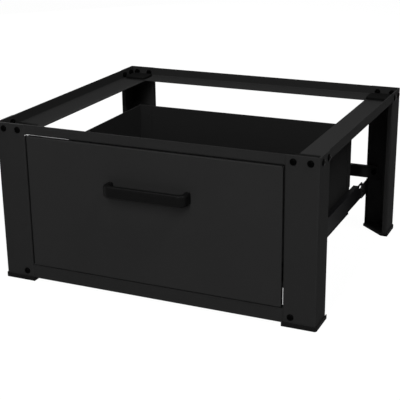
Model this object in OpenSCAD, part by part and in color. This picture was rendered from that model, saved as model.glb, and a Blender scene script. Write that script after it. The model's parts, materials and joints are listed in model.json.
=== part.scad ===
// Washer pedestal with one drawer: a bolted frame of folded steel sheet on plastic feet,
// rubber pads for the machine, and a steel drawer on ball-bearing telescopic runners.
// Millimetres. +X is right, -Y is the front, +Z is up. The origin is the centre of the
// bounding box at floor level, so the handle's reach moves the frame a little to the rear.

/* [Overall] */
// Width across the feet
pedestal_w = 630; // [580:5:700]
// Depth across the feet, without the handle
pedestal_d = 545; // [530:5:640]
// Height of the frame's top edge
pedestal_h = 310; // [295:5:400]

/* [Frame sheet] */
// Thickness of the legs' and rails' sheet
frame_t = 1.5; // [1.2:0.1:1.8]
// Inside radius of a bend in that sheet
frame_bend = 1.5; // [1:0.5:2]

/* [Legs] */
// Width of a leg seen from the front or the rear
leg_w = 60.5; // [56:0.5:64]
// Width of a leg seen from the side
leg_d = 55.5; // [52:0.5:60]
// Return lip on each free edge of a leg
leg_lip = 10; // [7:0.5:12]
// Gap between a leg's lip and a rail or brace that passes it
lip_notch = 1; // [0.5:0.5:2]

/* [Top rails] */
// Height of a side rail's upstanding lip, from the underside of its level flange
rail_h = 20.5; // [18:0.5:26]
// Level flange of a side rail
side_rail_w = 58.5; // [52:0.5:60]
// Level flange of the front and rear rails
end_rail_w = 55.5; // [50:0.5:58]

/* [Bottom rail] */
// Height of the bottom rail's face
bottom_rail_h = 28; // [24:1:32]
// Depth of its two level flanges
bottom_rail_d = 14; // [10:1:18]
// How far the bottom rail laps behind each front leg
bottom_rail_lap = 19; // [16:1:24]

/* [Rear brace] */
// Underside of the brace between the rear legs
brace_z = 108; // [105:1:120]
// Height of the brace's face
brace_h = 29; // [24:1:34]
// Depth of its level flange
brace_d = 12; // [8:1:16]
// How far the brace laps inside each rear leg
brace_lap = 22; // [18:1:26]

/* [Feet] */
// Sole under a leg
foot_sole_h = 5; // [4:0.5:7]
// Height of the rim round the outside of a leg
foot_rim_h = 8.5; // [7.5:0.5:12]
// How far a foot stands out past the leg's faces and edges
foot_proud = 2; // [1.5:0.5:3]
// Play between a foot and its leg
foot_fit = 0.2; // [0.1:0.1:0.4]
// Height of the plug inside a leg
foot_plug_h = 15; // [10:1:20]

/* [Pads] */
// Width of a pad
pad_w = 48; // [40:1:48]
// Depth of a pad
pad_d = 45; // [38:1:45]
// Thickness of a pad
pad_t = 5; // [2:0.5:6]
// Corner radius of a pad
pad_r = 8; // [4:1:12]
// Distance from the leg's faces to a pad
pad_inset = 10.5; // [10:0.5:11]

/* [Bolts] */
// Thread diameter of the frame's bolts
bolt_d = 6; // [5:0.5:6]
// Diameter of the domed head
bolt_head_d = 12; // [11:0.5:13]
// Height of the domed head
bolt_head_h = 2.8; // [2.2:0.2:3.4]
// Width across flats of a nut
nut_flats = 10; // [9:0.5:10]
// Thickness of a nut
nut_h = 5; // [4:0.5:5]
// Clearance round a bolt in its hole
bolt_play = 0.2; // [0.1:0.05:0.4]
// Distance from a frame corner to the first bolt
bolt_first = 16; // [15.5:0.5:18]
// Distance between the two bolts of a face
bolt_pitch = 30; // [26:1:32]
// Distance of the top bolts below the frame's top edge
bolt_drop = 11; // [11:0.5:11.5]

/* [Runners] */
// Height of a runner's outer member
runner_h = 35; // [33:0.5:40]
// Thickness of a closed runner
runner_t = 12.7; // [12.5:0.1:14]
// Thickness of the runner's sheet
runner_sheet = 1; // [0.8:0.1:1.1]
// Length of each runner member
runner_len = 450; // [400:10:450]
// Height of the runners' centre line above the floor
runner_z = 95.5; // [94:0.5:100]
// Travel of the drawer
drawer_travel = 430; // [300:10:430]
// Diameter of a ball
ball_d = 3.2; // [2.8:0.1:3.4]
// Balls in one row of a cage
ball_count = 9; // [5:1:10]
// Distance between balls
ball_pitch = 18; // [12:1:18]
// Sheet of a ball cage
cage_t = 0.4; // [0.3:0.1:0.5]
// Running gap between balls and races, and beside a cage
race_gap = 0.3; // [0.25:0.05:0.35]
// Tongue that carries the outer member past its channel, at the rear
tongue_len = 38; // [34:1:42]

/* [Runner brackets] */
// Height of a bracket between leg and runner
bracket_h = 30; // [28:1:40]
// Reach of a front bracket along the runner
front_bracket_len = 48; // [40:1:60]
// Width of a bracket's foot on the leg
bracket_foot = 30; // [20:1:40]
// Length of tongue that lies on a rear bracket
tongue_lap = 12; // [11:0.5:13]

/* [Drawer box] */
// Sheet of the drawer box
box_t = 1; // [0.8:0.1:1.2]
// Height of the box's underside above the floor
box_z = 55; // [52:1:60]
// Height of the box's walls
box_h = 193; // [180:1:200]
// Length of the box behind the front panel
box_d = 438; // [400:1:438]
// Folded edge along the top of the walls
hem_h = 8; // [6:1:12]
// Flange that joins two sheets of the box
seam_w = 14; // [12:1:18]
// Flange that joins the side walls to the rear wall
rear_seam_w = 28; // [24:1:32]

/* [Drawer front] */
// Sheet of the front panel
panel_t = 1.2; // [1:0.1:1.4]
// Gap beside the panel
panel_side_gap = 3; // [2.5:0.5:4.5]
// Gap above the panel
panel_top_gap = 2.2; // [2:0.1:4]
// Gap below the panel
panel_foot_gap = 1.5; // [1:0.5:3]
// Depth of the panel's folded side and bottom edges
panel_return = 9.5; // [6:0.5:10.5]
// Depth of its folded top edge
panel_top_return = 10; // [4:0.5:12]

/* [Handle] */
// Width of the handle
handle_w = 164; // [120:2:260]
// Height of the handle's bar
handle_h = 21.5; // [14:0.5:26]
// Thickness of the bar from front to back
handle_t = 12; // [10:0.5:14]
// Reach of the handle in front of the panel
handle_reach = 28; // [26:1:40]
// Outside radius of the handle's two bends
handle_bend = 16; // [14:0.5:18]
// Rounding along the bar's edges
handle_round = 3; // [2:0.5:4.5]
// Height of the handle's centre above the floor
handle_z = 211.5; // [120:0.5:240]

/* [Hidden] */

$fn = 48;
sheet_grey = "#2b2b2b";
box_grey = "#242424";
plastic_black = "#151515";
zinc_black = "#1c1c1c";
runner_grey = "#3a3a3a";
steel_bright = "#8c8c8c";
cut = 0.5;

// Frame
frame_w = pedestal_w - 2 * foot_proud;
frame_d = pedestal_d - 2 * foot_proud;
rear_reach = max(foot_proud, bolt_head_h);
front_y = -(frame_d + handle_reach + rear_reach) / 2 + handle_reach;
rear_y = front_y + frame_d;
corner_r = frame_bend + frame_t;
side_flange_z = pedestal_h - rail_h;
end_flange_z = side_flange_z + frame_t;
pad_z = end_flange_z + frame_t;
bolt_top_z = pedestal_h - bolt_drop;
bolt_second = bolt_first + bolt_pitch;
bottom_bolt_z = foot_sole_h + bottom_rail_h / 2;
brace_bolt_z = brace_z + brace_h / 2;
bottom_rail_top = foot_sole_h + bottom_rail_h;
leg_inner_x = frame_w / 2 - leg_w;
hole_d = bolt_d + 2 * bolt_play;

// Runners: u runs from the leg's side towards the drawer, v upwards from the centre line
runner_x = leg_inner_x + frame_t;
box_x = runner_x - runner_t;
ball_r = ball_d / 2;
ball_u = 6;
outer_v = runner_h / 2;
outer_ball_v = outer_v - runner_sheet - race_gap - ball_r;
middle_v = outer_ball_v - ball_r - race_gap;
inner_ball_v = middle_v - runner_sheet - race_gap - ball_r;
inner_v = inner_ball_v - ball_r - race_gap;
outer_cage_u = runner_sheet + race_gap;
middle_u = outer_cage_u + cage_t + 0.5;
inner_cage_u = middle_u + runner_sheet + race_gap;
inner_u = inner_cage_u + cage_t + race_gap;
race_edge = 1.2;
cage_play = 0.1;
runner_start = front_y + leg_lip + 1.5;
runner_end = runner_start + runner_len;
cage_len = (ball_count - 1) * ball_pitch + 2 * ball_d;
// A cage rests so that it stays inside both members through the whole travel
cage_start = runner_start + (runner_len - cage_len) / 2;
slot_len = 14;
slot_h = 6;
slot_v = 9.5;
slot_from_end = tongue_lap + slot_len / 2 + 1;
tongue_screw_from_end = tongue_lap / 2;
bracket_z = brace_z - lip_notch - bracket_h;
screw_d = 4;
screw_head_d = 7.5;
screw_head_h = 2;
screw_play = 0.2;
screw_tip = 1.5;
tongue_grip = runner_sheet + frame_t;
side_grip = runner_sheet + box_t;

// Drawer
panel_w = 2 * (leg_inner_x - panel_side_gap);
panel_z = bottom_rail_top + panel_foot_gap;
panel_top = end_flange_z - panel_top_gap;
panel_bend = 0.8;
panel_back = front_y + panel_t;
box_front = panel_back;
box_rear = box_front + box_d;
box_top = box_z + box_h;
box_bend = 1;
base_gap = 0.2;
ear_gap = 4;
stud_len = 6.5;
stud_nut_d = 8;
stud_nut_h = 3;
stud_x = box_x - box_t - seam_w / 2;
stud_from_edge = 25;
stud_heights = [box_z + stud_from_edge, box_z + box_h / 2, box_top - stud_from_edge];
rivet_x = box_x - box_t - rear_seam_w * 0.7;
rivet_d = 6.5;
rivet_h = 1.2;
rivet_tail = 1.2;
rivet_from_top = 22;
rivet_from_foot = 30;
rivet_heights = [box_z + rivet_from_foot, box_top - rivet_from_top];
side_screw_from_end = 40;
side_screw_places = [box_front + side_screw_from_end, (box_front + box_rear) / 2,
    box_rear - side_screw_from_end];
lap_past_seam = 10;
handle_leg_x = handle_w / 2 - handle_t / 2;
handle_screw_depth = 12;

// Places its children in the frame of one corner: +X and +Y point inwards from the leg's faces
module at_corner(side, end) {
    translate([side * frame_w / 2, end < 0 ? front_y : rear_y, 0])
        mirror([side > 0 ? 1 : 0, 0, 0])
            mirror([0, end > 0 ? 1 : 0, 0])
                children();
}

// Draws right-hand children as they are and mirrors them for the left
module on_side(side) {
    mirror([side < 0 ? 1 : 0, 0, 0]) children();
}

// A sheet folded by quarter turns to the left. outs holds the outside lengths in order.
// It starts at the origin along +X, with the outside of the fold on the right-hand side.
module folded(outs, t, bend, i = 0) {
    r = bend + t;
    last = len(outs) - 1;
    flat = outs[i] - (i > 0 ? r : 0) - (i < last ? r : 0);
    square([flat, t]);
    if (i < last) {
        translate([flat, 0]) quarter_bend(t, bend);
        translate([flat + r, r]) rotate(90) folded(outs, t, bend, i + 1);
    }
}

// Quarter of a ring that joins two flats of a folded sheet
module quarter_bend(t, bend) {
    r = bend + t;
    translate([0, r])
        intersection() {
            difference() {
                circle(r = r);
                circle(r = bend);
            }
            translate([0, -r]) square([r, r]);
        }
}

// Extrudes a profile drawn in X and Z along +Y
module along_y(length) {
    translate([0, length, 0]) rotate([90, 0, 0]) linear_extrude(length) children();
}

// Extrudes a profile drawn in Y and Z along +X, centred
module across_x(length) {
    translate([-length / 2, 0, 0])
        rotate([90, 0, 90])
            linear_extrude(length) children();
}

// A square with one rounded corner at the origin
module corner_square(size, r) {
    translate([r, 0]) square([size - r, size]);
    translate([0, r]) square([size, size - r]);
    translate([r, r]) circle(r = r);
}

module rounded_rect(w, h, r) {
    translate([-w / 2 + r, -h / 2]) square([w - 2 * r, h]);
    translate([-w / 2, -h / 2 + r]) square([w, h - 2 * r]);
    for (x = [-1, 1], y = [-1, 1])
        translate([x * (w / 2 - r), y * (h / 2 - r)]) circle(r = r);
}

// ---- Fasteners ----

// A domed bolt whose shank runs along +Y from the outer face at y = 0
module domed_bolt(grip) {
    flat_r = bolt_d * 0.45;
    dome_drop = (pow(bolt_head_d / 2, 2) - pow(flat_r, 2) - pow(bolt_head_h, 2))
        / (2 * bolt_head_h);
    dome_r = sqrt(pow(bolt_head_d / 2, 2) + pow(dome_drop, 2));
    shank = grip + nut_h + 1;
    rotate([-90, 0, 0])
        difference() {
            union() {
                cylinder(d = bolt_d, h = shank);
                rotate_extrude()
                    intersection() {
                        translate([0, dome_drop]) circle(r = dome_r, $fn = 96);
                        translate([0, -bolt_head_h]) square([bolt_head_d / 2, bolt_head_h]);
                    }
            }
            translate([0, 0, -bolt_head_h - cut])
                cylinder(d = bolt_d * 0.77, h = bolt_head_h * 0.6 + cut, $fn = 6);
        }
}

// A hexagon nut that lies on a face at y = grip, bored for the bolt
module hex_nut(grip) {
    translate([0, grip, 0])
        rotate([-90, 0, 0])
            difference() {
                cylinder(d = nut_flats / cos(30), h = nut_h, $fn = 6);
                translate([0, 0, -cut]) cylinder(d = hole_d - bolt_play, h = nut_h + 2 * cut);
            }
}

// Puts its children at every frame bolt, with +Y pointing inwards from the leg's outer face
module at_frame_bolts() {
    for (side = [-1, 1], end = [-1, 1], step = [bolt_first, bolt_second])
        at_corner(side, end) {
            translate([step, 0, bolt_top_z]) children();
            translate([0, step, bolt_top_z]) rotate([0, 0, -90]) children();
        }
    for (side = [-1, 1]) {
        at_corner(side, -1) translate([bolt_second, 0, bottom_bolt_z]) children();
        at_corner(side, 1) translate([bolt_second, 0, brace_bolt_z]) children();
    }
}

module frame_bolts() {
    color(zinc_black) at_frame_bolts() domed_bolt(2 * frame_t);
}

module frame_nuts() {
    color(zinc_black) at_frame_bolts() hex_nut(2 * frame_t);
}

module frame_holes() {
    at_frame_bolts()
        translate([0, -cut, 0])
            rotate([-90, 0, 0])
                cylinder(d = hole_d, h = 2 * frame_t + 2 * cut);
}

// ---- Frame ----

// One leg in its corner's frame. low and high bound the stretch of its lips that is cut away
module leg_shape(end) {
    length = pedestal_h - foot_sole_h;
    top_notch = side_flange_z - lip_notch;
    lip_band = leg_w - corner_r;
    difference() {
        translate([leg_lip, leg_d, foot_sole_h])
            linear_extrude(length)
                rotate(180)
                    folded([leg_lip, leg_d, leg_w, leg_lip], frame_t, frame_bend);
        // the top rails pass behind the flanges, so both lips stop below them
        translate([lip_band, frame_t, top_notch])
            cube([leg_w, leg_lip, rail_h + lip_notch + cut]);
        translate([frame_t, leg_d - frame_t - frame_bend, top_notch])
            cube([leg_lip, leg_d, rail_h + lip_notch + cut]);
        if (end < 0)
            translate([lip_band, frame_t, foot_sole_h - cut])
                cube([leg_w, leg_lip, bottom_rail_h + lip_notch + cut]);
        else
            translate([lip_band, frame_t, brace_z - lip_notch])
                cube([leg_w, leg_lip, brace_h + 2 * lip_notch]);
    }
}

module leg(side, end) {
    color(sheet_grey)
        difference() {
            at_corner(side, end) leg_shape(end);
            frame_holes();
        }
}

module foot(side, end) {
    c = frame_t + foot_fit;
    far_x = leg_w + foot_proud;
    far_y = leg_d + foot_proud;
    big = leg_w + leg_d;
    chamfer = frame_bend + 0.5;
    plug_x = 26;
    plug_y = 22;
    plug_wall = 6;
    color(plastic_black)
        at_corner(side, end) {
            linear_extrude(foot_sole_h) foot_outline(far_x, far_y, big);
            translate([0, 0, foot_sole_h - 0.01])
                linear_extrude(foot_rim_h - foot_sole_h + 0.01)
                    difference() {
                        foot_outline(far_x, far_y, big);
                        translate([-foot_fit, -foot_fit]) corner_square(big, corner_r);
                    }
            translate([c, c, foot_sole_h - 0.01])
                linear_extrude(foot_plug_h - foot_sole_h)
                    polygon([[chamfer, 0], [plug_x, 0], [plug_x, plug_wall],
                        [plug_wall, plug_y], [0, plug_y], [0, chamfer]]);
        }
}

// A foot's outline: square to the outside, cut off along the diagonal to the inside
module foot_outline(far_x, far_y, big) {
    wing = leg_lip + foot_proud;
    intersection() {
        translate([-foot_proud, -foot_proud]) corner_square(big, corner_r + foot_proud);
        polygon([[-foot_proud, -foot_proud], [far_x, -foot_proud], [far_x, wing],
            [wing, far_y], [-foot_proud, far_y]]);
    }
}

// Front and rear rails lie on the side rails' flanges; their lips stand inside the legs
module end_rail(end) {
    // the ends stay clear of the bends between the side rails' lips and flanges
    length = frame_w - 2 * (frame_t + corner_r);
    lip_h = pedestal_h - end_flange_z;
    color(sheet_grey)
        difference() {
            translate([0, end < 0 ? front_y : rear_y, 0])
                mirror([0, end > 0 ? 1 : 0, 0])
                    translate([0, frame_t, 0])
                        across_x(length)
                            translate([0, pedestal_h])
                                rotate(-90)
                                    folded([lip_h, end_rail_w], frame_t, frame_bend);
            frame_holes();
        }
}

module side_rail(side) {
    // the ends stay clear of the legs' bends; the flange runs under the end rails
    length = frame_d - 2 * corner_r;
    color(sheet_grey)
        difference() {
            on_side(side)
                translate([frame_w / 2 - frame_t, front_y + corner_r, 0])
                    along_y(length)
                        mirror([1, 0])
                            translate([0, pedestal_h])
                                rotate(-90)
                                    folded([rail_h, side_rail_w], frame_t, frame_bend);
            frame_holes();
        }
}

module bottom_rail_front() {
    length = 2 * (leg_inner_x + bottom_rail_lap);
    color(sheet_grey)
        difference() {
            translate([0, front_y + frame_t + bottom_rail_d, bottom_rail_top])
                across_x(length)
                    rotate(180)
                        folded([bottom_rail_d, bottom_rail_h, bottom_rail_d],
                            frame_t, frame_bend);
            frame_holes();
        }
}

module rear_brace() {
    length = 2 * (leg_inner_x + brace_lap);
    color(sheet_grey)
        difference() {
            translate([0, rear_y - frame_t, brace_z])
                across_x(length)
                    rotate(90)
                        folded([brace_h, brace_d], frame_t, frame_bend);
            frame_holes();
        }
}

module pad(side, end) {
    color(plastic_black)
        at_corner(side, end)
            translate([pad_inset + pad_w / 2, pad_inset + pad_d / 2, pad_z])
                linear_extrude(pad_t)
                    rounded_rect(pad_w, pad_d, pad_r);
}

// ---- Runners ----

// Puts a right-hand runner profile, drawn in u and v, along the runner
module along_runner(side, start, length) {
    on_side(side)
        translate([runner_x, start, runner_z])
            along_y(length)
                mirror([1, 0])
                    children();
}

// A profile given by the corners of its upper half, from the web to the flange and back
module symmetric_profile(upper) {
    last = len(upper) - 1;
    polygon(concat(upper, [for (i = [last : -1 : 0]) [upper[i][0], -upper[i][1]]]));
}

module outer_profile() {
    reach = ball_u + ball_r + race_gap + 2 * runner_sheet + 0.3;
    flange = outer_v - runner_sheet;
    symmetric_profile([[0, outer_v], [reach, outer_v], [reach, flange - race_edge],
        [reach - runner_sheet, flange - race_edge], [reach - runner_sheet, flange],
        [runner_sheet, flange]]);
}

module middle_profile() {
    reach = ball_u + ball_r + race_gap + runner_sheet + 0.5;
    flange = middle_v - runner_sheet;
    web = middle_u + runner_sheet;
    symmetric_profile([[middle_u, middle_v], [reach - runner_sheet, middle_v],
        [reach - runner_sheet, middle_v + race_edge], [reach, middle_v + race_edge],
        [reach, flange], [web, flange]]);
}

module inner_profile() {
    flange = inner_v - runner_sheet;
    web = runner_t - runner_sheet;
    symmetric_profile([[runner_t, inner_v], [inner_u, inner_v], [inner_u, flange],
        [web, flange]]);
}

// A ball cage: a strip along the web with a wing into each race
module cage_profile(u, v) {
    wing = ball_u + ball_r + race_gap;
    half = cage_t / 2;
    symmetric_profile([[u, v + half], [wing, v + half], [wing, v - half],
        [u + cage_t, v - half]]);
}

// Puts its children at each ball of a cage whose two rows lie v above and below the centre
module at_balls(side, v) {
    for (i = [0 : ball_count - 1], row = [-1, 1])
        on_side(side)
            translate([runner_x - ball_u, cage_start + ball_d + i * ball_pitch, runner_z + row * v])
                children();
}

module cage(side, u, v) {
    color(steel_bright)
        difference() {
            along_runner(side, cage_start, cage_len) cage_profile(u, v);
            at_balls(side, v)
                translate([0, 0, -1]) cylinder(r = ball_r + cage_play, h = 2);
        }
}

module balls(side, v) {
    color(steel_bright) at_balls(side, v) sphere(r = ball_r, $fn = 24);
}

// A slot with round ends, drawn along X
module slot(length, height) {
    square([length - height, height], center = true);
    for (x = [-1, 1])
        translate([x * (length - height) / 2, 0]) circle(d = height);
}

// Puts its children on a runner's side of the leg: X runs along +Y of the model, Y upwards
module on_runner_web(side, y, z) {
    on_side(side)
        translate([runner_x, y, z])
            rotate([90, 0, 90])
                children();
}

module tongue_plate() {
    r = runner_h / 3;
    square([tongue_len - r, runner_h]);
    translate([tongue_len - r, r]) square([r, runner_h - 2 * r]);
    for (v = [r, runner_h - r])
        translate([tongue_len - r, v]) circle(r = r);
}

module runner_outer(side) {
    color(runner_grey)
        difference() {
            union() {
                along_runner(side, runner_start, runner_len) outer_profile();
                on_runner_web(side, runner_end - cut, runner_z - outer_v)
                    translate([0, 0, -runner_sheet])
                        linear_extrude(runner_sheet) tongue_plate();
            }
            on_runner_web(side, runner_end + tongue_len - slot_from_end, runner_z + slot_v)
                translate([0, 0, -2 * runner_sheet])
                    linear_extrude(3 * runner_sheet) slot(slot_len, slot_h);
            at_tongue_screw(side) screw_hole(tongue_grip);
        }
}

module runner_middle(side) {
    color(runner_grey) along_runner(side, runner_start, runner_len) middle_profile();
}

module runner_inner(side) {
    color(runner_grey)
        difference() {
            along_runner(side, runner_start, runner_len) inner_profile();
            at_side_screws(side) screw_hole(side_grip);
        }
}

// A small round-headed screw along +X from its head's seat at x = 0
module screw(length) {
    rotate([0, 90, 0]) cylinder(d = screw_d, h = length);
    rotate([0, -90, 0]) cylinder(d = screw_head_d, h = screw_head_h);
}

module screw_hole(grip) {
    translate([-cut, 0, 0])
        rotate([0, 90, 0])
            cylinder(d = screw_d + 2 * screw_play, h = grip + 2 * cut);
}

// Screws through the inner members into the drawer's side walls, heads towards the leg
module at_side_screws(side) {
    for (y = side_screw_places)
        on_side(side)
            translate([box_x + runner_sheet, y, runner_z])
                rotate([0, 0, 180])
                    children();
}

module runner_screws() {
    color(steel_bright)
        for (side = [-1, 1])
            at_side_screws(side) screw(side_grip + screw_tip);
}

// Screw through each tongue into its rear bracket, head towards the drawer
module at_tongue_screw(side) {
    on_side(side)
        translate([runner_x - runner_sheet, runner_end + tongue_len - tongue_screw_from_end,
            bracket_z + bracket_h / 2])
            children();
}

module tongue_screws() {
    color(zinc_black)
        for (side = [-1, 1])
            at_tongue_screw(side) screw(tongue_grip + screw_tip);
}

// An angle from the back of a leg's flange to the outer member; the legs' lips rest on it
module runner_bracket(side, end) {
    tongue_end = runner_end + tongue_len;
    reach = end < 0 ? front_bracket_len : rear_y - frame_t - tongue_end + tongue_lap;
    color(sheet_grey)
        difference() {
            on_side(side)
                translate([runner_x, end < 0 ? front_y + frame_t : rear_y - frame_t, bracket_z])
                    mirror([0, end > 0 ? 1 : 0, 0])
                        linear_extrude(bracket_h)
                            translate([0, reach])
                                rotate(-90)
                                    folded([reach, bracket_foot], frame_t, frame_bend);
            if (end > 0)
                at_tongue_screw(side) screw_hole(tongue_grip);
        }
}

// ---- Drawer ----

// The front panel: a face with shallow folded edges, its bends left open at the four corners
module drawer_front() {
    r = panel_bend + panel_t;
    h = panel_top - panel_z;
    color(sheet_grey)
        difference() {
            union() {
                translate([0, front_y + panel_return, panel_z])
                    across_x(panel_w - 2 * r)
                        mirror([1, 0])
                            folded([panel_return, h, panel_top_return], panel_t, panel_bend);
                for (side = [-1, 1])
                    on_side(side) {
                        translate([panel_w / 2 - 2 * r, front_y, panel_z + r])
                            linear_extrude(h - 2 * r)
                                folded([2 * r, panel_return], panel_t, panel_bend);
                        // the side return closes the corners behind the bends
                        translate([panel_w / 2 - panel_t, front_y + r, panel_z])
                            cube([panel_t, panel_return - r, h]);
                    }
                at_studs()
                    rotate([-90, 0, 0]) cylinder(d = screw_d, h = stud_len);
            }
            at_handle_legs()
                translate([0, -cut, 0])
                    rotate([-90, 0, 0])
                        cylinder(d = screw_d + 2 * screw_play, h = panel_t + 2 * cut);
        }
}

// Puts its children on the panel's back at each stud that holds a side wall
module at_studs() {
    for (side = [-1, 1], z = stud_heights)
        translate([side * stud_x, panel_back, z]) children();
}

module front_nuts() {
    color(zinc_black)
        at_studs()
            translate([0, box_t, 0])
                rotate([-90, 0, 0])
                    difference() {
                        cylinder(d = stud_nut_d / cos(30), h = stud_nut_h, $fn = 6);
                        translate([0, 0, -cut])
                            cylinder(d = screw_d + screw_play, h = stud_nut_h + 2 * cut);
                    }
}

// Section of a side wall in X and Z: hemmed top, wall, flange under the base
module side_wall_section() {
    r = box_bend + box_t;
    translate([box_x, box_top - box_t]) circle(r = box_t);
    translate([box_x, box_top - hem_h]) square([box_t, hem_h - box_t]);
    translate([box_x - box_t, box_z + r]) square([box_t, box_h - r - box_t]);
    translate([box_x - seam_w, box_z]) square([seam_w - r, box_t]);
    translate([box_x - r, box_z]) quarter_bend(box_t, box_bend);
}

module drawer_side(side) {
    ear_top = panel_top - ear_gap;
    wall_len = box_d - box_t;
    hem_start = seam_w;
    color(box_grey)
        difference() {
            on_side(side)
                union() {
                    difference() {
                        translate([0, box_front, 0])
                            along_y(wall_len) side_wall_section();
                        // the hem starts behind the ear
                        translate([box_x, box_front - cut, box_top - hem_h - cut])
                            cube([2 * box_t, hem_start + cut, hem_h + 2 * cut]);
                    }
                    // the ear that stiffens the front panel above the wall
                    translate([box_x - box_t, box_front, box_top - box_t - cut])
                        cube([box_t, seam_w, ear_top - box_top + box_t + cut]);
                    // flange on the front panel's back
                    translate([box_x - seam_w, box_front, box_z + 2 * box_t + base_gap])
                        cube([seam_w, box_t, ear_top - box_z - 2 * box_t - base_gap]);
                    // flange on the rear wall
                    translate([box_x - rear_seam_w, box_rear - 2 * box_t,
                        box_z + 2 * box_t + base_gap])
                        cube([rear_seam_w, box_t, box_h - 3 * box_t - base_gap]);
                }
            at_studs()
                translate([0, -cut, 0])
                    rotate([-90, 0, 0])
                        cylinder(d = screw_d + 2 * screw_play, h = box_t + 2 * cut);
            at_side_screws(side) screw_hole(side_grip);
            at_rivets() rivet_hole();
        }
}

// The rear wall covers the side walls' ends and laps outside them above the runners
module drawer_rear() {
    half = box_x + box_t;
    lap = seam_w + lap_past_seam;
    lap_z = runner_z + outer_v + ear_gap;
    color(box_grey)
        difference() {
            union() {
                translate([-box_x, box_rear - box_t, box_z])
                    cube([2 * box_x, box_t, box_h - box_t]);
                translate([-half, box_rear - box_t, lap_z])
                    cube([2 * half, box_t, box_top - box_t - lap_z]);
                // hem folded to the back
                translate([0, box_rear, box_top - box_t]) across_x(2 * half) circle(r = box_t);
                translate([-half, box_rear, box_top - hem_h])
                    cube([2 * half, box_t, hem_h - box_t]);
                for (side = [-1, 1])
                    on_side(side)
                        translate([box_x, box_rear - lap, lap_z])
                            cube([box_t, lap, box_top - hem_h - base_gap - lap_z]);
                // flange under the base
                translate([-box_x + seam_w + base_gap, box_rear - seam_w, box_z])
                    cube([2 * (box_x - seam_w - base_gap), seam_w, box_t]);
            }
            at_rivets() rivet_hole();
        }
}

module drawer_base() {
    w = 2 * (box_x - box_t - box_bend);
    color(box_grey)
        translate([-w / 2, box_front + base_gap, box_z + box_t])
            cube([w, box_d - box_t - 2 * base_gap, box_t]);
}

// Puts its children at each rivet of the rear corners, on the inside of the seam
module at_rivets() {
    for (side = [-1, 1], z = rivet_heights)
        translate([side * rivet_x, box_rear - 2 * box_t, z])
            rotate([-90, 0, 0])
                children();
}

module rivet_hole() {
    translate([0, 0, -cut]) cylinder(d = screw_d + 2 * screw_play, h = 2 * box_t + 2 * cut);
}

module drawer_rivets() {
    color(box_grey)
        at_rivets() {
            translate([0, 0, -rivet_h]) cylinder(d = rivet_d, h = rivet_h);
            cylinder(d = screw_d, h = 2 * box_t + rivet_tail);
        }
}

// ---- Handle ----

// Section of the bar: thickness along X, height along Y
module handle_section() {
    rounded_rect(handle_t, handle_h, handle_round);
}

// Puts its children on the panel's face at the two screws of the handle, +Y inwards
module at_handle_legs() {
    for (side = [-1, 1])
        translate([side * handle_leg_x, front_y, handle_z]) children();
}

module handle() {
    mid_r = handle_bend - handle_t / 2;
    bar_len = handle_w - 2 * handle_bend;
    leg_len = handle_reach - handle_bend;
    bend_y = front_y - leg_len;
    color(plastic_black)
        difference() {
            union() {
                translate([-bar_len / 2, bend_y - mid_r, handle_z])
                    rotate([0, 90, 0])
                        linear_extrude(bar_len)
                            rotate(90) handle_section();
                for (side = [-1, 1])
                    on_side(side) {
                        translate([bar_len / 2, bend_y, handle_z])
                            rotate([0, 0, -90])
                                rotate_extrude(angle = 90)
                                    translate([mid_r, 0]) handle_section();
                        translate([handle_leg_x, front_y, handle_z])
                            rotate([90, 0, 0])
                                linear_extrude(leg_len) handle_section();
                    }
            }
            at_handle_legs()
                translate([0, cut, 0])
                    rotate([90, 0, 0])
                        cylinder(d = screw_d + screw_play, h = handle_screw_depth + cut);
        }
}

module handle_screws() {
    color(zinc_black)
        at_handle_legs() {
            translate([0, panel_t, 0])
                rotate([90, 0, 0])
                    cylinder(d = screw_d, h = panel_t + handle_screw_depth - 2);
            translate([0, panel_t, 0])
                rotate([-90, 0, 0])
                    cylinder(d = screw_head_d, h = screw_head_h);
        }
}

leg(-1, -1);  // leg_front_left
leg(1, -1);  // leg_front_right
leg(-1, 1);  // leg_rear_left
leg(1, 1);  // leg_rear_right
foot(-1, -1);  // foot_front_left
foot(1, -1);  // foot_front_right
foot(-1, 1);  // foot_rear_left
foot(1, 1);  // foot_rear_right
end_rail(-1);  // top_rail_front
end_rail(1);  // top_rail_rear
side_rail(-1);  // top_rail_left
side_rail(1);  // top_rail_right
bottom_rail_front();
rear_brace();
pad(-1, -1);  // pad_front_left
pad(1, -1);  // pad_front_right
pad(-1, 1);  // pad_rear_left
pad(1, 1);  // pad_rear_right
frame_bolts();
frame_nuts();
runner_bracket(-1, -1);  // runner_bracket_front_left
runner_bracket(1, -1);  // runner_bracket_front_right
runner_bracket(-1, 1);  // runner_bracket_rear_left
runner_bracket(1, 1);  // runner_bracket_rear_right
tongue_screws();
runner_outer(-1);  // runner_outer_left
runner_outer(1);  // runner_outer_right
runner_middle(-1);  // runner_middle_left
runner_middle(1);  // runner_middle_right
runner_inner(-1);  // runner_inner_left
runner_inner(1);  // runner_inner_right
runner_screws();
cage(-1, outer_cage_u, outer_ball_v);  // outer_cage_left
cage(1, outer_cage_u, outer_ball_v);  // outer_cage_right
cage(-1, inner_cage_u, inner_ball_v);  // inner_cage_left
cage(1, inner_cage_u, inner_ball_v);  // inner_cage_right
balls(-1, outer_ball_v);  // outer_balls_left
balls(1, outer_ball_v);  // outer_balls_right
balls(-1, inner_ball_v);  // inner_balls_left
balls(1, inner_ball_v);  // inner_balls_right
drawer_front();
drawer_side(-1);  // drawer_side_left
drawer_side(1);  // drawer_side_right
drawer_rear();
drawer_base();
front_nuts();
drawer_rivets();
handle();
handle_screws();
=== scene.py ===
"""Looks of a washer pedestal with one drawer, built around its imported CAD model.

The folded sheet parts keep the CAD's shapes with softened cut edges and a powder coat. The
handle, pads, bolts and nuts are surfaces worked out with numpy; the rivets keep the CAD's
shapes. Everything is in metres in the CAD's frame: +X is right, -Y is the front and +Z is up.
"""

from __future__ import annotations

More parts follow.
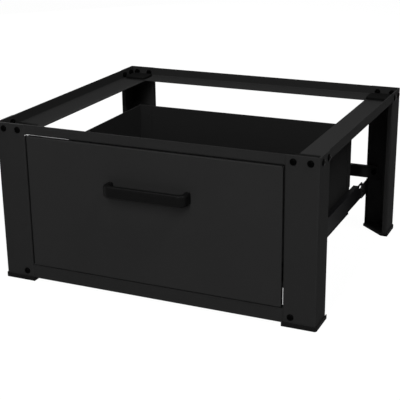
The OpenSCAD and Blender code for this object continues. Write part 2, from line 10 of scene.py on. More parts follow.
import json
import logging
import math
from dataclasses import dataclass, field
from enum import Enum
from typing import Any

import bmesh
import bpy
import numpy as np
from mathutils import Matrix, Vector

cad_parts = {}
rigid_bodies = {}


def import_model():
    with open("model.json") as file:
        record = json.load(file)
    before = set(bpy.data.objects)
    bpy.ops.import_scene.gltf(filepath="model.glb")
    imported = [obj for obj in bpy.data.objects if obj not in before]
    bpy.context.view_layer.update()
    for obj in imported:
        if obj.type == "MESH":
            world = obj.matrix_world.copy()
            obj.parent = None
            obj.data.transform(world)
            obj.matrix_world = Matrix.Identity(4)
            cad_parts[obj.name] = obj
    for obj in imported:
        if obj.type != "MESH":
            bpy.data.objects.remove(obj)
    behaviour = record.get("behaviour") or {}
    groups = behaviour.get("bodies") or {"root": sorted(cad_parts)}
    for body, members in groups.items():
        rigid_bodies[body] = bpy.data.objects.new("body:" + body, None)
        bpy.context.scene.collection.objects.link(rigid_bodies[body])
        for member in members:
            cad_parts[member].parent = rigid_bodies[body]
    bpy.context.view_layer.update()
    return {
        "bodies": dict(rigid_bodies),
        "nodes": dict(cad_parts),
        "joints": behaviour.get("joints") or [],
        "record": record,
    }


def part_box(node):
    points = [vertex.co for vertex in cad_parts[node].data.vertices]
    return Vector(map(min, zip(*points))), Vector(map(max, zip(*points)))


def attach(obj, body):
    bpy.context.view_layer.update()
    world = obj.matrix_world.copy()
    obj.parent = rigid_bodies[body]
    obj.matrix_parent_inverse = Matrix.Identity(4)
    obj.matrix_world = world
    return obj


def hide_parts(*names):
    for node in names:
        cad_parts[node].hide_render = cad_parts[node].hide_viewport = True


LOG = logging.getLogger("pedestal")
MM = 0.001

# Points of a made surface that lie this near each other, in metres, are one point.
SAME_POINT = 1e-7
# The same for the CAD's loose triangles, whose corners are rounded numbers.
SAME_CAD_POINT = 2e-6
# Faces that turn less than this are one flat face.
FLAT_ANGLE = math.radians(0.6)
# Edges that turn more than this are cut edges or folds with a sharp line.
SHARP_ANGLE = math.radians(30)
SMOOTH_ANGLE = math.radians(32)

# The rolls stretch a drawn strip's lines this many times along Y.
ROLL_STRETCH = 60.0
# A powder coat's fine relief: how much finer and how much shallower than its dimples.
FINE_COUNT = 2.7
FINE_SHARE = 0.35

Array = np.ndarray
Colour = tuple[float, float, float, float]
Point = tuple[float, float, float]


class Side(Enum):
    """Which side of the pedestal, seen from the front. The value is the sign of X."""

    LEFT = -1
    RIGHT = 1


class End(Enum):
    """Which end of the pedestal. The value is the sign of Y."""

    FRONT = -1
    REAR = 1


class Grain(Enum):
    """How a surface's relief is laid over it."""

    PEEL = "soft dimples of a baked powder coat"
    SPARK = "even pits of a spark-eroded mould"
    DRAWN = "lines along the runner from the rolls"


def linear(hex_colour: str) -> Colour:
    """Turns an sRGB hex colour into linear light.

    Args:
        hex_colour: the colour as #rrggbb.

    Returns:
        Red, green, blue and an alpha of 1, in linear light.
    """
    channels = [int(hex_colour[i : i + 2], 16) / 255 for i in (1, 3, 5)]
    r, g, b = (c / 12.92 if c <= 0.04045 else ((c + 0.055) / 1.055) ** 2.4 for c in channels)
    return (r, g, b, 1.0)


def shaded(colour: Colour, factor: float) -> Colour:
    """Returns a linear colour made lighter or darker by a factor."""
    return (colour[0] * factor, colour[1] * factor, colour[2] * factor, 1.0)


def add_node(
    tree: bpy.types.NodeTree,
    kind: str,
    settings: dict[str, Any] | None = None,
    inputs: dict[str | int, Any] | None = None,
) -> bpy.types.Node:
    """Adds a node to a tree with its settings, values and links.

    Args:
        tree: the node tree.
        kind: the node's type name in Blender.
        settings: the node's own properties by name.
        inputs: input sockets by name or index, each with a value or with another node's
            output socket, which is then linked.

    Returns:
        The new node.
    """
    node = tree.nodes.new(kind)
    for name, value in (settings or {}).items():
        setattr(node, name, value)
    for key, value in (inputs or {}).items():
        if isinstance(value, bpy.types.NodeSocket):
            tree.links.new(value, node.inputs[key])
        else:
            node.inputs[key].default_value = value
    return node


@dataclass(frozen=True)
class SurfaceFinish:
    """A finish with a shade that drifts slowly, a roughness that varies and a fine relief.

    drift_mm is the width of the slow changes of shade and gloss, grain_mm the spacing of the
    relief and grain_um its depth in micrometres.
    """

    name: str
    colour: str
    roughness: float
    grain: Grain
    grain_mm: float
    grain_um: float
    metallic: float = 0.0
    specular: float = 0.5
    drift: float = 0.06
    drift_mm: float = 90.0
    gloss_change: float = 0.05

    def material(self) -> bpy.types.Material:
        """Builds the node material, or returns it if it is there already.

        Returns:
            The material, on Object coordinates in metres.
        """
        known = bpy.data.materials.get(self.name)
        if known is not None:
            return known
        made = bpy.data.materials.new(self.name)
        made.use_nodes = True
        tree = made.node_tree
        tree.nodes.clear()
        place = add_node(tree, "ShaderNodeTexCoord").outputs["Object"]
        slow = add_node(
            tree,
            "ShaderNodeTexNoise",
            inputs={"Vector": place, "Scale": 1 / (self.drift_mm * MM), "Detail": 3.0},
        )
        base = linear(self.colour)
        shade = add_node(
            tree,
            "ShaderNodeMix",
            {"data_type": "RGBA"},
            {
                0: slow.outputs["Fac"],
                6: shaded(base, 1 - self.drift),
                7: shaded(base, 1 + self.drift),
            },
        )
        gloss = add_node(
            tree,
            "ShaderNodeMapRange",
            inputs={
                "Value": slow.outputs["Fac"],
                "To Min": self.roughness - self.gloss_change,
                "To Max": self.roughness + self.gloss_change,
            },
        )
        bump = add_node(
            tree,
            "ShaderNodeBump",
            inputs={
                "Strength": 1.0,
                "Distance": self.grain_um * MM * MM,
                "Height": self._relief(tree, place),
            },
        )
        shader = add_node(
            tree,
            "ShaderNodeBsdfPrincipled",
            inputs={
                "Base Color": shade.outputs[2],
                "Roughness": gloss.outputs["Result"],
                "Metallic": self.metallic,
                "Specular IOR Level": self.specular,
                "Normal": bump.outputs["Normal"],
            },
        )
        add_node(
            tree,
            "ShaderNodeOutputMaterial",
            inputs={"Surface": shader.outputs["BSDF"]},
        )
        return made

    def _relief(
        self, tree: bpy.types.NodeTree, place: bpy.types.NodeSocket
    ) -> bpy.types.NodeSocket:
        """Adds the nodes of the fine relief.

        Args:
            tree: the material's node tree.
            place: the Object coordinates.

        Returns:
            The height's output socket, from 0 to 1.
        """
        per_metre = 1 / (self.grain_mm * MM)
        if self.grain is Grain.DRAWN:
            long_way = add_node(
                tree,
                "ShaderNodeMapping",
                inputs={"Vector": place, "Scale": (1.0, 1 / ROLL_STRETCH, 1.0)},
            )
            lines = add_node(
                tree,
                "ShaderNodeTexNoise",
                inputs={"Vector": long_way.outputs["Vector"], "Scale": per_metre, "Detail": 2.0},
            )
            return lines.outputs["Fac"]
        if self.grain is Grain.SPARK:
            pits = add_node(
                tree,
                "ShaderNodeTexNoise",
                inputs={"Vector": place, "Scale": per_metre, "Detail": 4.0, "Roughness": 0.65},
            )
            return pits.outputs["Fac"]
        dimples = add_node(
            tree,
            "ShaderNodeTexVoronoi",
            {"feature": "SMOOTH_F1"},
            {"Vector": place, "Scale": per_metre, "Smoothness": 1.0},
        )
        fine = add_node(
            tree,
            "ShaderNodeTexNoise",
            inputs={"Vector": place, "Scale": per_metre * FINE_COUNT, "Detail": 2.0},
        )
        both = add_node(
            tree,
            "ShaderNodeMath",
            {"operation": "MULTIPLY_ADD"},
            {0: fine.outputs["Fac"], 1: FINE_SHARE, 2: dimples.outputs["Distance"]},
        )
        return both.outputs["Value"]


@dataclass(frozen=True)
class Palette:
    """Every finish on the pedestal, by the record's material slots."""

    # Polyester powder coat on cold-rolled sheet: near-black grey and matt, with the soft
    # dimples of the baked powder. They are about 1.2 mm wide and drawn at 2.4 mm to show.
    frame_paint: SurfaceFinish = SurfaceFinish(
        "powder_coat_frame", "#202020", 0.68, Grain.PEEL, 2.4, 9.0, specular=0.004
    )
    front_paint: SurfaceFinish = SurfaceFinish(
        "powder_coat_front", "#222222", 0.66, Grain.PEEL, 2.4, 9.0, specular=0.004
    )
    # The drawer's coat is painted darker than the frame's as painted shade: it stands for the
    # shade inside the drawer and on its side under the right rail.
    box_paint: SurfaceFinish = SurfaceFinish(
        "powder_coat_drawer", "#1a1a1a", 0.70, Grain.PEEL, 2.4, 9.0, specular=0.003
    )
    # Polypropylene from a spark-eroded mould: dull black. Its pits are about 0.1 mm wide and
    # drawn at 1.2 mm to show.
    foot_plastic: SurfaceFinish = SurfaceFinish(
        "polypropylene_feet", "#121212", 0.66, Grain.SPARK, 1.2, 12.0, specular=0.01
    )
    # ABS from a finer mould: satin black that catches the light on its rounded ends. Its
    # pits are about 0.05 mm wide and drawn at 0.9 mm to show.
    handle_plastic: SurfaceFinish = SurfaceFinish(
        "abs_handle", "#090909", 0.36, Grain.SPARK, 0.9, 4.0, specular=0.03
    )
    # EPDM rubber, pressed: matt black with a cloudy bloom. Its grain is about 0.2 mm wide and
    # drawn at 1.6 mm to show.
    pad_rubber: SurfaceFinish = SurfaceFinish(
        "epdm_pads", "#0c0c0c", 0.85, Grain.SPARK, 1.6, 22.0, specular=0.004, drift=0.2,
        drift_mm=14.0,
    )
    # Black-passivated zinc on cold-headed steel: the thick dark film looks black and a little
    # glossy. Its grain is under 0.05 mm and drawn at 0.6 mm to show.
    black_zinc: SurfaceFinish = SurfaceFinish(
        "black_passivated_zinc", "#030303", 0.22, Grain.SPARK, 0.6, 2.0, specular=0.005,
        drift_mm=6.0,
    )
    # Cataphoretic coat on roll-formed strip: near black with lines along the strip. They lie
    # about 0.2 mm apart and are drawn at 1 mm to show.
    runner_steel: SurfaceFinish = SurfaceFinish(
        "black_runner_steel", "#0e0e0f", 0.5, Grain.DRAWN, 1.0, 5.0, specular=0.01,
        drift_mm=60.0,
    )
    # Bright zinc on pressed strip: light grey metal, a little cloudy. Its lines lie about
    # 0.1 mm apart and are drawn at 0.8 mm to show.
    cage_steel: SurfaceFinish = SurfaceFinish(
        "bright_zinc", "#a9abad", 0.38, Grain.DRAWN, 0.8, 4.0, metallic=1.0, drift=0.12,
        drift_mm=9.0,
    )
    # Hardened bearing steel, ground and polished: a mirror with a trace of waviness.
    ball_steel: SurfaceFinish = SurfaceFinish(
        "polished_ball_steel", "#c4c4c4", 0.12, Grain.SPARK, 0.5, 0.5, metallic=1.0,
        drift_mm=5.0, gloss_change=0.02,
    )

    def of_slot(self, slot: str) -> SurfaceFinish:
        """Returns the finish of one of the record's material slots."""
        return getattr(self, slot)


@dataclass
class Carrier:
    """Puts pieces into the scene on the CAD's bodies and keeps the record at hand."""

    frame: dict[str, Any]
    palette: Palette
    body_of_node: dict[str, str] = field(init=False)
    slot_of_node: dict[str, str] = field(init=False)

    def __post_init__(self) -> None:
        """Reads which body and slot each CAD node has."""
        record = self.frame["record"]
        groups = record["behaviour"]["bodies"]
        self.body_of_node = {n: body for body, nodes in groups.items() for n in nodes}
        self.slot_of_node = {s["node"]: s["material_slot"] for s in record["subparts"]}

    def node(self, name: str) -> bpy.types.Object:
        """Returns a CAD node's object."""
        return self.frame["nodes"][name]

    def dress(self, name: str) -> None:
        """Gives a CAD node that stays the material of its slot."""
        mesh = self.node(name).data
        mesh.materials.clear()
        mesh.materials.append(self.palette.of_slot(self.slot_of_node[name]).material())

    def put(self, name: str, mesh: bpy.types.Mesh, stands_for: str) -> bpy.types.Object:
        """Puts a new piece in the place of a CAD node.

        Args:
            name: the piece's name.
            mesh: its mesh, in the CAD's frame.
            stands_for: the CAD node that it replaces.

        Returns:
            The piece, with its material, on the node's body.
        """
        slot = self.slot_of_node[stands_for]
        mesh.materials.clear()
        mesh.materials.append(self.palette.of_slot(slot).material())
        mesh.shade_smooth()
        mesh.set_sharp_from_angle(angle=SMOOTH_ANGLE)
        piece = bpy.data.objects.new(name, mesh)
        bpy.context.scene.collection.objects.link(piece)
        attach(piece, self.body_of_node[stands_for])
        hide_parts(stands_for)
        LOG.info("%s stands for %s: %d faces", name, stands_for, len(mesh.polygons))
        return piece


def grid_faces(rows: int, cols: int, close_rows: bool) -> Array:
    """Joins a grid of points into quads. The last column always joins the first.

    Args:
        rows: number of points along the first parameter.
        cols: number of points round the second.
        close_rows: whether the last row joins the first too.

    Returns:
        An array of four point numbers for each face.
    """
    i = np.arange(rows if close_rows else rows - 1)
    a, b = np.meshgrid(i, np.arange(cols), indexing="ij")
    a_next, b_next = (a + 1) % rows, (b + 1) % cols
    corners = [a * cols + b, a * cols + b_next, a_next * cols + b_next, a_next * cols + b]
    return np.stack(corners, axis=-1).reshape(-1, 4)


def surface_mesh(name: str, grids: list[Array], holed: bool = False) -> bpy.types.Mesh:
    """Makes one mesh of several closed grids of points.

    Each grid has the shape rows x columns x 3, and a row runs round the shape. The first and
    last rows are closed with a face of many corners, or joined to each other where a hole
    goes through. Doubles are merged and the faces are turned outwards at the end.

    Args:
        name: the mesh's name.
        grids: the grids of points, in metres.
        holed: whether the last row joins the first, as through a nut's bore.

    Returns:
        The mesh.
    """
    points = np.concatenate([g.reshape(-1, 3) for g in grids])
    faces: list[list[int]] = []
    start = 0
    for g in grids:
        rows, cols = g.shape[:2]
        faces += (grid_faces(rows, cols, holed) + start).tolist()
        if not holed:
            faces.append(list(range(start + cols - 1, start - 1, -1)))
            faces.append(list(range(start + (rows - 1) * cols, start + rows * cols)))
        start += rows * cols
    mesh = bpy.data.meshes.new(name)
    mesh.from_pydata(points.tolist(), [], faces)
    shell = bmesh.new()
    shell.from_mesh(mesh)
    bmesh.ops.remove_doubles(shell, verts=shell.verts, dist=SAME_POINT)
    bmesh.ops.recalc_face_normals(shell, faces=shell.faces)
    shell.to_mesh(mesh)
    shell.free()
    return mesh


def softened_copy(source: bpy.types.Object, name: str, edge_mm: float) -> bpy.types.Mesh:
    """Copies a CAD node's mesh and rounds its cut edges a little.

    The copy's loose triangles are merged and its flat regions made whole first. Its sharp
    edges then get a narrow round of two faces.

    Args:
        source: the CAD node's object.
        name: the new mesh's name.
        edge_mm: width of the round in millimetres.

    Returns:
        The softened mesh.
    """
    mesh = source.data.copy()
    mesh.name = name
    own_normals = mesh.attributes.get("custom_normal")
    if own_normals is not None:
        mesh.attributes.remove(own_normals)
    shell = bmesh.new()
    shell.from_mesh(mesh)
    bmesh.ops.remove_doubles(shell, verts=shell.verts, dist=SAME_CAD_POINT)
    bmesh.ops.dissolve_limit(
        shell,
        angle_limit=FLAT_ANGLE,
        verts=shell.verts,
        edges=shell.edges,
        use_dissolve_boundaries=False,
    )
    sharp = [e for e in shell.edges if e.is_manifold and e.calc_face_angle() > SHARP_ANGLE]
    bmesh.ops.bevel(
        shell,
        geom=sharp,
        offset=edge_mm * MM,
        offset_type="OFFSET",
        segments=2,
        profile=0.5,
        affect="EDGES",
        clamp_overlap=True,
    )
    shell.to_mesh(mesh)
    shell.free()
    return mesh


def even_out(piece: bpy.types.Object) -> None:
    """Turns the smooth normals towards the largest faces, so that flat sheet shades flat."""
    weighting = piece.modifiers.new("even_shading", "WEIGHTED_NORMAL")
    weighting.keep_sharp = True
    weighting.weight = 100


@dataclass
class SheetWork:
    """The folded sheet parts of the frame and the drawer, with softened cut edges."""

    edge_mm: float = 0.2
    nodes: tuple[str, ...] = (
        "leg_front_left",
        "leg_front_right",
        "leg_rear_left",
        "leg_rear_right",
        "top_rail_front",
        "top_rail_rear",
        "top_rail_left",
        "top_rail_right",
        "bottom_rail_front",
        "rear_brace",
        "drawer_front",
        "drawer_side_left",
        "drawer_side_right",
        "drawer_rear",
        "drawer_base",
    )

    def build(self, carrier: Carrier) -> None:
        """Puts a softened copy of each sheet part in the place of its node."""
        for node in self.nodes:
            mesh = softened_copy(carrier.node(node), f"{node}_coated", self.edge_mm)
            even_out(carrier.put(f"{node}_coated", mesh, node))


@dataclass
class Handle:
    """The moulded bow handle: a bar with rounded ends that turn back to the drawer front."""

    thick_mm: float = 12.0
    bend_mm: float = 16.0
    edge_mm: float = 3.0
    crown_mm: float = 0.5
    squareness: float = 6.0
    section_steps: int = 64
    bend_steps: int = 24
    root_steps: int = 5
    bar_steps: int = 22

    def section(self, thick: float, high: float) -> Array:
        """Works out the bar's section: a rectangle with rounded corners and crowned faces.

        A point on it is a point of an inner rectangle plus the edge radius in the point's
        direction. The direction times the squareness, held to 1, gives the place on the
        rectangle. The front and rear faces are pushed out by a shallow parabola.

        Args:
            thick: thickness of the bar in metres.
            high: height of the bar in metres.

        Returns:
            Points around the section, as thickness and height, in order.
        """
        r = self.edge_mm * MM
        crown = self.crown_mm * MM
        turn = np.linspace(0, 2 * np.pi, self.section_steps, endpoint=False)
        way = np.stack([np.cos(turn), np.sin(turn)], axis=-1)
        inner = np.array([thick / 2 - r - crown, high / 2 - r])
        points = np.clip(way * self.squareness, -1, 1) * inner + r * way
        bulge = crown * (1 - (points[:, 1] / (high / 2)) ** 2)
        points[:, 0] += np.sign(way[:, 0]) * bulge
        return points

    def build(self, carrier: Carrier) -> None:
        """Carries the section along the bow and puts the handle in its node's place.

        The path goes out from one foot, round a quarter circle, along the bar, round the
        other quarter circle and back. At each station the section's thickness lies along the
        path's normal and its height along Z.
        """
        low, high = (np.array(c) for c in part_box("handle"))
        thick = self.thick_mm * MM
        r = self.bend_mm * MM - thick / 2
        half = high[0] - thick / 2
        back, front = high[1], low[1] + thick / 2
        quarter = np.linspace(0, np.pi / 2, self.bend_steps)
        leg = np.linspace(back, front + r, self.root_steps, endpoint=False)
        centre = np.array([half - r, front + r])
        mirror = np.array([-1.0, 1.0])
        bend = np.stack([np.cos(quarter), -np.sin(quarter)], axis=-1)
        right_leg = np.stack([np.full_like(leg, half), leg], axis=-1)
        right = np.concatenate([right_leg, centre + r * bend])
        left = right[::-1] * mirror
        bar = np.linspace(half - r, -(half - r), self.bar_steps + 2)[1:-1]
        middle = np.stack([bar, np.full_like(bar, front)], axis=-1)
        path = np.concatenate([right, middle, left])
        normal_right = np.concatenate([np.tile([1.0, 0.0], (len(leg), 1)), bend])
        normal_mid = np.tile([0.0, -1.0], (len(middle), 1))
        normal = np.concatenate([normal_right, normal_mid, normal_right[::-1] * mirror])
        section = self.section(thick, high[2] - low[2])
        plan = path[:, None, :] + normal[:, None, :] * section[None, :, :1]
        z = np.broadcast_to(section[None, :, 1:], (*plan.shape[:2], 1)) + (low[2] + high[2]) / 2
        grid = np.concatenate([plan, z], axis=-1)
        carrier.put("handle_moulded", surface_mesh("handle_moulded", [grid]), "handle")
        carrier.dress("handle_screws")


@dataclass
class Pads:
    """The rubber pads in the top corners: rounded rectangles with soft upper edges."""

    corner_mm: float = 8.0
    edge_mm: float = 1.1
    base_mm: float = 0.25
    flat_inset: float = 2.5
    corner_steps: int = 14
    edge_steps: int = 7

    def outline(self, width: float, depth: float, inset: float) -> Array:
        """Works out a rounded rectangle, moved inwards by an inset.

        Args:
            width: size along X in metres.
            depth: size along Y in metres.
            inset: how far the line lies inside the pad's outline.

        Returns:
            Points round the line, anticlockwise.
        """
        r = self.corner_mm * MM
        turn = np.linspace(0, np.pi / 2, self.corner_steps)
        turns = np.concatenate([turn + k * np.pi / 2 for k in range(4)])
        way = np.stack([np.cos(turns), np.sin(turns)], axis=-1)
        signs = np.repeat([[1, 1], [-1, 1], [-1, -1], [1, -1]], self.corner_steps, axis=0)
        centre = signs * (np.array([width, depth]) / 2 - r)
        return centre + way * (r - inset)

    def build(self, carrier: Carrier) -> None:
        """Lofts each pad from its broken base line over the round edge to its flat top.

        The edge is a quarter circle: the inset is the radius less its cosine part and the
        height rises by its sine part. The last line lies on the top, further in.
        """
        r = self.edge_mm * MM
        base = self.base_mm * MM
        for end in End:
            for side in Side:
                node = f"pad_{end.name.lower()}_{side.name.lower()}"
                low, high = (np.array(c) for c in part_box(node))
                size = high - low
                turn = np.linspace(0, np.pi / 2, self.edge_steps)
                top_inset = r * self.flat_inset
                insets = np.concatenate([[base, 0.0], r * (1 - np.cos(turn)), [top_inset]])
                rise = size[2] - r + r * np.sin(turn)
                heights = np.concatenate([[0.0, base], rise, [size[2]]])
                rings = [self.outline(size[0], size[1], float(i)) for i in insets]
                centre = (low + high)[:2] / 2
                grid = np.stack(
                    [
                        np.column_stack([ring + centre, np.full(len(ring), low[2] + h)])
                        for ring, h in zip(rings, heights)
                    ]
                )
                mesh = surface_mesh(f"{node}_pressed", [grid])
                carrier.put(f"{node}_pressed", mesh, node)


def hexagon_radius(turn: Array, flats: float) -> Array:
    """Distance from a hexagon's centre to its side, in each direction.

    It is half the width across flats divided by the cosine of the angle from the nearest
    flat's middle. Two flats face along the direction of a quarter turn, which is up.

    Args:
        turn: directions in radians.
        flats: width across flats in metres.

    Returns:
        The distances in metres.
    """
    from_flat = turn % (np.pi / 3) - np.pi / 6
    return flats / 2 / np.cos(from_flat)


@dataclass
class FrameBolts:
    """The domed bolts with hexagon sockets and the nuts inside the frame.

    The socket's rings are shares of its hexagon's radius, from the floor to the mouth. The
    nut's chamfer is given by its rings' heights over the face and by how far their cone lies
    past half the flats, both in millimetres.
    """

    thread_mm: float = 6.0
    pitch_mm: float = 1.0
    thread_depth_mm: float = 0.45
    rings_per_pitch: int = 6
    past_nut_mm: float = 1.0
    tip_mm: float = 0.8
    tip_chamfer_mm: float = 0.7
    head_mm: float = 12.0
    head_height_mm: float = 2.8
    rim_mm: float = 0.5
    rim_break_mm: float = 0.2
    dome_rings: int = 9
    socket_mm: float = 4.0
    socket_shares: tuple[float, ...] = (0.4, 0.96, 1.0, 1.03)
    floor_share: float = 0.42
    floor_break_mm: float = 0.15
    mouth_break_mm: float = 0.02
    flat_share: float = 0.72
    nut_flats_mm: float = 10.0
    nut_height_mm: float = 5.0
    nut_rise_mm: tuple[float, ...] = (0.02, 0.5, 0.8)
    nut_cone_mm: tuple[float, ...] = (0.0, 0.55, 1.0)
    bore_play_mm: float = 0.05
    grip_mm: float = 3.0
    steps_mm: tuple[float, float] = (16.0, 46.0)
    drop_mm: float = 11.0
    rail_z_mm: float = 19.0
    brace_z_mm: float = 122.5
    turn_steps: int = 36

    def head(self, turn: Array) -> tuple[Array, Array]:
        """Works out the head from the socket's floor over the dome to the seat.

        The dome is a quarter of an ellipse from the flat round the socket to a low rim:
        radius by the sine of its lean, height by the cosine. Inside the flat the radius is
        that of the hexagon socket.

        Args:
            turn: directions round the bolt.

        Returns:
            Radius and height of each ring, as two arrays of rings x directions. Height is
            measured outwards from the seat.
        """
        tall, edge, rim = self.head_height_mm, self.head_mm / 2, self.rim_mm
        floor = tall * self.floor_share
        flat = self.socket_mm * self.flat_share
        lean = np.linspace(0, np.pi / 2, self.dome_rings)
        dome_r = flat + (edge - flat) * np.sin(lean)
        dome_h = rim + (tall - rim) * np.cos(lean)
        socket = np.outer(self.socket_shares, hexagon_radius(turn, self.socket_mm))
        round_r = np.append(dome_r, [edge, edge - self.rim_break_mm])
        radius = np.concatenate([socket, np.repeat(round_r[:, None], len(turn), axis=1)])
        socket_h = [floor, floor, floor + self.floor_break_mm, tall - self.mouth_break_mm]
        height = np.concatenate([socket_h, dome_h, [self.rim_break_mm, 0.0]])
        return radius, np.repeat(height[:, None], len(turn), axis=1)

    def shank(self, turn: Array) -> tuple[Array, Array]:
        """Works out the threaded shank from the seat to its chamfered tip.

        The radius falls and rises as a triangle wave of depth along the bolt, and the wave
        moves on by one pitch in each turn, which makes a helix.

        Args:
            turn: directions round the bolt.

        Returns:
            Radius and height of each ring. Height is negative, inwards from the seat.
        """
        full = self.thread_mm / 2
        length = self.grip_mm + self.nut_height_mm + self.past_nut_mm
        rings = int(length / self.pitch_mm * self.rings_per_pitch)
        along = np.linspace(0, length, rings)[:, None]
        wave = (along / self.pitch_mm - turn[None, :] / (2 * np.pi)) % 1.0
        thread = full - self.thread_depth_mm * np.abs(2 * wave - 1)
        into_tip = np.clip((along - (length - self.tip_mm)) / self.tip_mm, 0, 1)
        radius = np.minimum(thread, full - self.tip_chamfer_mm * into_tip)
        return radius, -np.broadcast_to(along, radius.shape)

    def bolt(self) -> Array:
        """Returns one bolt's grid of points about its own axis, its height along -Y."""
        turn = np.linspace(0, 2 * np.pi, self.turn_steps, endpoint=False)
        head_r, head_h = self.head(turn)
        shank_r, shank_h = self.shank(turn)
        radius = np.concatenate([head_r, shank_r])
        height = np.concatenate([head_h, shank_h])
        return np.stack([radius * np.cos(turn), -height, radius * np.sin(turn)], axis=-1) * MM

    def nut(self) -> Array:
        """Returns one nut's grid: the bore, both chamfered faces and the six flats.

        The outer radius is the hexagon's, held in by a cone at both faces. The first and the
        last row are the bore's two ends, so joining them makes the bore.
        """
        turn = np.linspace(0, 2 * np.pi, self.turn_steps, endpoint=False)
        bore = np.full_like(turn, self.thread_mm / 2 + self.bore_play_mm)
        cone = np.array(self.nut_cone_mm) + self.nut_flats_mm / 2
        hexagon = hexagon_radius(turn, self.nut_flats_mm)
        outer = np.minimum(hexagon, np.append(cone, cone[::-1])[:, None])
        radius = np.vstack([bore, outer, bore])
        rise = np.array([self.nut_rise_mm[0], *self.nut_rise_mm])
        steps = self.grip_mm + np.append(rise, self.nut_height_mm - rise[::-1])
        height = np.broadcast_to(steps[:, None], radius.shape)
        return np.stack([radius * np.cos(turn), height, radius * np.sin(turn)], axis=-1) * MM

    def places(self) -> list[Array]:
        """Works out where the bolts stand from the legs' boxes.

        Each leg has two bolts in its front or rear face and two in its outer face near the
        top. One more in the front or rear face holds the bottom rail or the brace.

        Returns:
            For each bolt a 4 x 3 array: rows X, Y and Z of its own axes and its seat's place.
        """
        up = np.array([0.0, 0.0, 1.0])
        near, far = (np.array(self.steps_mm) * MM).tolist()
        found = []
        for end in End:
            low_z = (self.rail_z_mm if end is End.FRONT else self.brace_z_mm) * MM
            for side in Side:
                low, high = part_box(f"leg_{end.name.lower()}_{side.name.lower()}")
                x = high[0] if side is Side.RIGHT else low[0]
                y = high[1] if end is End.REAR else low[1]
                top = high[2] - self.drop_mm * MM
                on_end = [(near, top), (far, top), (far, low_z)]
                along_x, along_y = (-side.value, 0.0, 0.0), (0.0, -end.value, 0.0)
                seats = [((x - side.value * step, y, z), along_y) for step, z in on_end]
                seats += [((x, y - end.value * step, top), along_x) for step in (near, far)]
                for seat, inwards in seats:
                    found.append(np.array([np.cross(inwards, up), inwards, up, seat]))
        return found

    def build(self, carrier: Carrier) -> None:
        """Puts a turned and threaded bolt and a chamfered nut at each place."""
        places = self.places()
        shapes = (("frame_bolts", self.bolt(), False), ("frame_nuts", self.nut(), True))
        for node, shape, holed in shapes:
            grids = [shape @ place[:3] + place[3] for place in places]
            name = f"{node}_made"
            carrier.put(name, surface_mesh(name, grids, holed), node)


@dataclass
class Feet:
    """The moulded feet under the legs, with softened mould edges."""

    edge_mm: float = 0.7

    def build(self, carrier: Carrier) -> None:
        """Puts a softened copy of each foot in the place of its node."""
        for end in End:
            for side in Side:
                node = f"foot_{end.name.lower()}_{side.name.lower()}"
                mesh = softened_copy(carrier.node(node), f"{node}_moulded", self.edge_mm)
                even_out(carrier.put(f"{node}_moulded", mesh, node))


@dataclass
class Runners:
    """The telescopic runners, which keep the CAD's exact shapes."""

    nodes: tuple[str, ...] = (
        "runner_outer",
        "runner_middle",
        "runner_inner",
        "outer_cage",
        "inner_cage",
        "outer_balls",
        "inner_balls",
        "runner_bracket_front",
        "runner_bracket_rear",
    )
    fasteners: tuple[str, ...] = ("runner_screws", "tongue_screws", "front_nuts", "drawer_rivets")

    def build(self, carrier: Carrier) -> None:
        """Gives every runner node and small fastener its finish."""
        for stem in self.nodes:
            for side in Side:
                carrier.dress(f"{stem}_{side.name.lower()}")
        for node in self.fasteners:
            carrier.dress(node)


@dataclass(frozen=True)
class Softbox:
    """A rectangular area lamp, in metres: its place, the point it faces and its size."""

    name: str
    at: Point
    to: Point
    size: tuple[float, float]
    watts: float

    def hang(self) -> None:
        """Makes the lamp and turns it to its point."""
        data = bpy.data.lights.new(self.name, "AREA")
        data.shape = "RECTANGLE"
        data.size, data.size_y = self.size
        data.energy = self.watts
        lamp = bpy.data.objects.new(self.name, data)
        lamp.location = self.at
        lamp.rotation_euler = (
            (Vector(self.to) - Vector(self.at)).to_track_quat("-Z", "Y").to_euler()
        )
        bpy.context.scene.collection.objects.link(lamp)


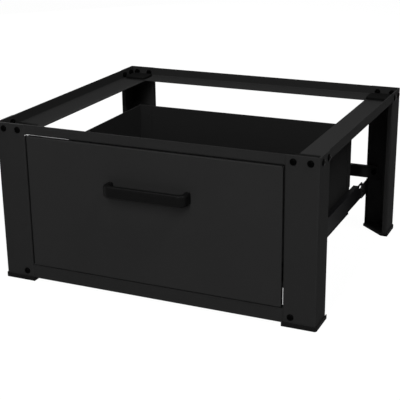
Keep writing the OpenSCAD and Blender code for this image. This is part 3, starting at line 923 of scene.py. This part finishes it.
@dataclass
class Studio:
    """A white studio: a pale floor, a tall strip light in front and three softer lamps.

    The strip light faces the drawer front, and the side lamp lights the right side and the
    rails. The top lamp lifts the left rail and the drawer's inside. The back lamp reaches the
    left side and the faces behind. The camera stands right of the front, half a metre above
    the top. Its place and roll are in the CAD's frame, in metres and degrees.
    """

    camera_at: Point = (0.77480, -1.75289, 0.78560)
    camera_to: Point = (-0.01086, -0.01363, 0.11728)
    camera_roll: float = -0.71
    camera_lens_mm: float = 90.78
    sensor_mm: float = 36.0
    view_end: float = 50.0
    ambient: float = 0.04
    floor_half: float = 6.0
    floor_grey: float = 0.5
    floor_white: float = 1.04
    floor_white_share: float = 0.94
    lamps: tuple[Softbox, ...] = (
        Softbox("front_softbox", (0.32, -2.7, 1.85), (0.3, 0, 0.15), (0.26, 2.2), 84.0),
        Softbox("side_softbox", (3.6, -1.0, 5.2), (0, 0, 0.15), (1.6, 1.6), 262.0),
        Softbox("top_fill", (-0.6, -0.3, 2.0), (-0.1, 0, 0.15), (1.0, 1.0), 12.0),
        Softbox("back_fill", (-2.3, 2.3, 0.6), (0, 0, 0.15), (1.4, 0.8), 130.0),
    )

    def build(self) -> None:
        """Makes the floor, the lamps, the world and the camera."""
        self.floor()
        self.world()
        for lamp in self.lamps:
            lamp.hang()
        self.camera()

    def floor(self) -> None:
        """Makes a large pale floor that looks white and keeps a soft shadow."""
        half = self.floor_half
        mesh = bpy.data.meshes.new("floor")
        mesh.from_pydata(
            [(-half, -half, 0), (half, -half, 0), (half, half, 0), (-half, half, 0)],
            [],
            [(0, 1, 2, 3)],
        )
        made = bpy.data.materials.new("studio_floor")
        made.use_nodes = True
        tree = made.node_tree
        tree.nodes.clear()
        ray = add_node(tree, "ShaderNodeLightPath")
        grey = self.floor_grey
        matt = add_node(tree, "ShaderNodeBsdfDiffuse", inputs={"Color": (grey, grey, grey, 1.0)})
        white = add_node(tree, "ShaderNodeEmission", inputs={"Strength": self.floor_white})
        share = add_node(
            tree,
            "ShaderNodeMath",
            {"operation": "MULTIPLY"},
            {0: self._seen(tree, ray), 1: self.floor_white_share},
        )
        both = add_node(
            tree,
            "ShaderNodeMixShader",
            inputs={0: share.outputs[0], 1: matt.outputs[0], 2: white.outputs[0]},
        )
        add_node(tree, "ShaderNodeOutputMaterial", inputs={"Surface": both.outputs[0]})
        mesh.materials.append(made)
        floor = bpy.data.objects.new("floor", mesh)
        bpy.context.scene.collection.objects.link(floor)

    @staticmethod
    def _seen(tree: bpy.types.NodeTree, ray: bpy.types.Node) -> bpy.types.NodeSocket:
        """Returns a socket that is 1 for rays from the camera, from gloss and through glass."""
        first = add_node(
            tree,
            "ShaderNodeMath",
            {"operation": "ADD", "use_clamp": True},
            {0: ray.outputs["Is Camera Ray"], 1: ray.outputs["Is Glossy Ray"]},
        )
        total = add_node(
            tree,
            "ShaderNodeMath",
            {"operation": "ADD", "use_clamp": True},
            {0: first.outputs[0], 1: ray.outputs["Is Transmission Ray"]},
        )
        return total.outputs[0]

    def world(self) -> None:
        """Makes a world that is white to the camera and dim to everything else."""
        world = bpy.data.worlds.new("studio")
        bpy.context.scene.world = world
        world.use_nodes = True
        tree = world.node_tree
        tree.nodes.clear()
        ray = add_node(tree, "ShaderNodeLightPath")
        strength = add_node(
            tree,
            "ShaderNodeMapRange",
            inputs={"Value": self._seen(tree, ray), "To Min": self.ambient, "To Max": 1.0},
        )
        background = add_node(
            tree,
            "ShaderNodeBackground",
            inputs={"Color": (1.0, 1.0, 1.0, 1.0), "Strength": strength.outputs["Result"]},
        )
        add_node(tree, "ShaderNodeOutputWorld", inputs={"Surface": background.outputs[0]})

    def camera(self) -> None:
        """Makes the camera, turned about its line of sight by its roll."""
        data = bpy.data.cameras.new("camera")
        data.lens = self.camera_lens_mm
        data.sensor_width = self.sensor_mm
        data.clip_end = self.view_end
        camera = bpy.data.objects.new("camera", data)
        look = (Vector(self.camera_to) - Vector(self.camera_at)).to_track_quat("-Z", "Y")
        roll = Matrix.Rotation(math.radians(self.camera_roll), 4, "Z")
        camera.matrix_world = (
            Matrix.Translation(self.camera_at) @ look.to_matrix().to_4x4() @ roll
        )
        bpy.context.scene.collection.objects.link(camera)
        bpy.context.scene.camera = camera


def main() -> None:
    """Builds the pedestal's looks and the studio."""
    logging.basicConfig(level=logging.INFO, format="%(name)s: %(message)s")
    for thing in list(bpy.data.objects):
        bpy.data.objects.remove(thing)
    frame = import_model()
    carrier = Carrier(frame, Palette())
    assemblies = (SheetWork(), Feet(), Pads(), FrameBolts(), Runners(), Handle())
    for assembly in assemblies:
        LOG.info("building %s", type(assembly).__name__)
        assembly.build(carrier)
    Studio().build()
    bpy.context.scene.view_settings.view_transform = "Standard"
    bpy.context.view_layer.update()


if __name__ == "__main__":
    main()
